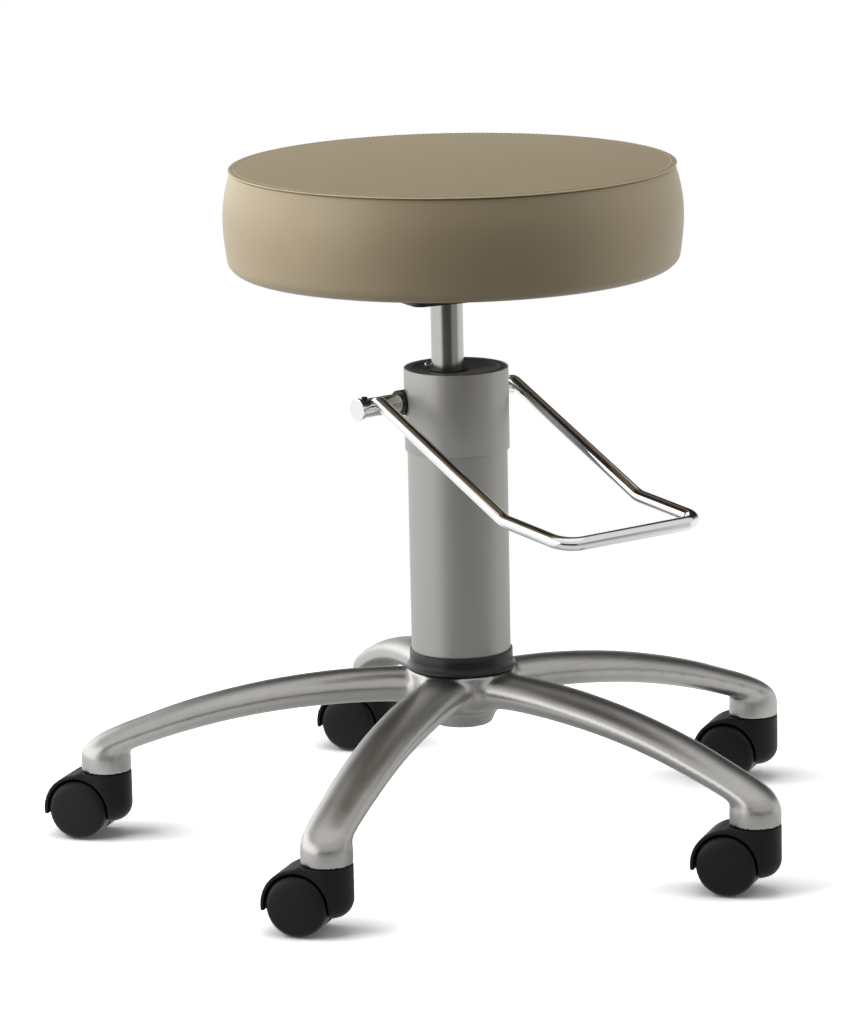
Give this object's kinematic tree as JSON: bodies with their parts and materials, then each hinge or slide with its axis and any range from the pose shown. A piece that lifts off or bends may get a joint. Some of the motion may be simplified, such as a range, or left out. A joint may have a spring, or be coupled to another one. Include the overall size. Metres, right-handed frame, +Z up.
{
  "type": "hydraulic surgical stool",
  "caption": "Round padded stool on a hydraulic column: a U-shaped foot bar pumps the ram, the seat swivels, and a star base rolls on hooded twin-wheel casters.",
  "frame": {"origin": "on the floor under the column's axis", "axes": "+Z up, -Y towards the front of the foot bar, +X along the foot bar's shaft"},
  "size_m": [0.6283, 0.6484, 0.577],
  "materials": {
    "cushion_vinyl": "satin",
    "cast_aluminium": "brushed",
    "grey_paint": "satin",
    "black_plastic": "satin",
    "wheel_plastic": "satin",
    "chrome": "polished",
    "ram_steel": "polished",
    "bright_steel": "zinc plated",
    "black_steel": "powder coat",
    "bush_plastic": "matt",
    "bronze": "machined",
    "seal_rubber": "matt",
    "plywood": "sanded"
  },
  "bodies": {
    "stand": {"base_casting": "cast_aluminium", "base_ring": "black_plastic", "column_tube": "grey_paint", "column_sleeve": "grey_paint", "column_cap": "black_plastic", "cap_vent_screw": "bright_steel", "ram_wiper": "seal_rubber", "cylinder_base": "bright_steel", "hub_washer": "bright_steel", "hub_nut": "bright_steel", "cylinder_tube": "bright_steel", "cylinder_head": "bright_steel", "ram_guide_bush": "bronze", "pump_barrel": "bright_steel", "pump_spring": "bright_steel", "shaft_bushes": "bush_plastic", "caster_stems": "bright_steel", "caster_grip_rings": "bright_steel"},
    "lift": {"ram": "ram_steel", "ram_piston": "bright_steel", "piston_seal": "seal_rubber", "swivel_plate": "black_steel", "ram_nut": "bright_steel", "swivel_lower_race": "bright_steel", "swivel_balls": "bright_steel"},
    "seat": {"swivel_upper_race": "bright_steel", "swivel_retainer": "bright_steel", "seat_plate": "black_steel", "seat_board": "plywood", "seat_bolts": "bright_steel", "seat_tee_nuts": "bright_steel", "seat_cushion": "cushion_vinyl"},
    "foot_bar": {"pedal_bar": "chrome", "pedal_shaft": "chrome", "pedal_end_cap": "chrome", "pedal_lock_screw": "black_steel", "pump_lever": "bright_steel"},
    "pump": {"pump_plunger": "bright_steel", "plunger_seal": "seal_rubber"},
    "caster_1": {"caster_hood_1": "black_plastic", "caster_axle_1": "bright_steel"},
    "wheel_left_1": {"caster_wheel_left_1": "wheel_plastic"},
    "wheel_right_1": {"caster_wheel_right_1": "wheel_plastic"},
    "caster_2": {"caster_hood_2": "black_plastic", "caster_axle_2": "bright_steel"},
    "wheel_left_2": {"caster_wheel_left_2": "wheel_plastic"},
    "wheel_right_2": {"caster_wheel_right_2": "wheel_plastic"},
    "caster_3": {"caster_hood_3": "black_plastic", "caster_axle_3": "bright_steel"},
    "wheel_left_3": {"caster_wheel_left_3": "wheel_plastic"},
    "wheel_right_3": {"caster_wheel_right_3": "wheel_plastic"},
    "caster_4": {"caster_hood_4": "black_plastic", "caster_axle_4": "bright_steel"},
    "wheel_left_4": {"caster_wheel_left_4": "wheel_plastic"},
    "wheel_right_4": {"caster_wheel_right_4": "wheel_plastic"},
    "caster_5": {"caster_hood_5": "black_plastic", "caster_axle_5": "bright_steel"},
    "wheel_left_5": {"caster_wheel_left_5": "wheel_plastic"},
    "wheel_right_5": {"caster_wheel_right_5": "wheel_plastic"}
  },
  "joints": [
    {"name": "lift_slide", "type": "slide", "parent": "stand", "child": "lift", "axis": [0, 0, 1], "range_m": [-0.045, 0.095]},
    {"name": "seat_swivel", "type": "hinge", "parent": "lift", "child": "seat", "pos_m": [0, 0, 0.4765], "axis": [0, 0, 1], "continuous": true},
    {"name": "foot_bar_hinge", "type": "hinge", "parent": "stand", "child": "foot_bar", "pos_m": [0, 0.023, 0.37375], "axis": [1, 0, 0], "range_deg": [0, 18], "stiffness_Nm_per_rad": 4, "springref_deg": -22.92},
    {"name": "pump_slide", "type": "slide", "parent": "stand", "child": "pump", "axis": [0, 0, -1], "range_m": [0, 0.0092], "deforming": ["pump_spring"]},
    {"name": "caster_swivel_1", "type": "hinge", "parent": "stand", "child": "caster_1", "pos_m": [0.11985, 0.27829, 0.0577], "axis": [0, 0, 1], "continuous": true},
    {"name": "wheel_spin_left_1", "type": "hinge", "parent": "caster_1", "child": "wheel_left_1", "pos_m": [0.10909, 0.29491, 0.0255], "axis": [-0.8396, -0.5432, 0], "continuous": true},
    {"name": "wheel_spin_right_1", "type": "hinge", "parent": "caster_1", "child": "wheel_right_1", "pos_m": [0.10909, 0.29491, 0.0255], "axis": [-0.8396, -0.5432, 0], "continuous": true},
    {"name": "caster_swivel_2", "type": "hinge", "parent": "stand", "child": "caster_2", "pos_m": [-0.22763, 0.19998, 0.0577], "axis": [0, 0, 1], "continuous": true},
    {"name": "wheel_spin_left_2", "type": "hinge", "parent": "caster_2", "child": "wheel_left_2", "pos_m": [-0.23839, 0.2166, 0.0255], "axis": [-0.8396, -0.5432, 0], "continuous": true},
    {"name": "wheel_spin_right_2", "type": "hinge", "parent": "caster_2", "child": "wheel_right_2", "pos_m": [-0.23839, 0.2166, 0.0255], "axis": [-0.8396, -0.5432, 0], "continuous": true},
    {"name": "caster_swivel_3", "type": "hinge", "parent": "stand", "child": "caster_3", "pos_m": [-0.26054, -0.15469, 0.0577], "axis": [0, 0, 1], "continuous": true},
    {"name": "wheel_spin_left_3", "type": "hinge", "parent": "caster_3", "child": "wheel_left_3", "pos_m": [-0.27129, -0.13807, 0.0255], "axis": [-0.8396, -0.5432, 0], "continuous": true},
    {"name": "wheel_spin_right_3", "type": "hinge", "parent": "caster_3", "child": "wheel_right_3", "pos_m": [-0.27129, -0.13807, 0.0255], "axis": [-0.8396, -0.5432, 0], "continuous": true},
    {"name": "caster_swivel_4", "type": "hinge", "parent": "stand", "child": "caster_4", "pos_m": [0.06661, -0.29559, 0.0577], "axis": [0, 0, 1], "continuous": true},
    {"name": "wheel_spin_left_4", "type": "hinge", "parent": "caster_4", "child": "wheel_left_4", "pos_m": [0.05586, -0.27896, 0.0255], "axis": [-0.8396, -0.5432, 0], "continuous": true},
    {"name": "wheel_spin_right_4", "type": "hinge", "parent": "caster_4", "child": "wheel_right_4", "pos_m": [0.05586, -0.27896, 0.0255], "axis": [-0.8396, -0.5432, 0], "continuous": true},
    {"name": "caster_swivel_5", "type": "hinge", "parent": "stand", "child": "caster_5", "pos_m": [0.30171, -0.02799, 0.0577], "axis": [0, 0, 1], "continuous": true},
    {"name": "wheel_spin_left_5", "type": "hinge", "parent": "caster_5", "child": "wheel_left_5", "pos_m": [0.29095, -0.01136, 0.0255], "axis": [-0.8396, -0.5432, 0], "continuous": true},
    {"name": "wheel_spin_right_5", "type": "hinge", "parent": "caster_5", "child": "wheel_right_5", "pos_m": [0.29095, -0.01136, 0.0255], "axis": [-0.8396, -0.5432, 0], "continuous": true}
  ],
  "couplings": [
    {"joint": "pump_slide", "follows": "foot_bar_hinge", "m_per_rad": 0.0286}
  ]
}
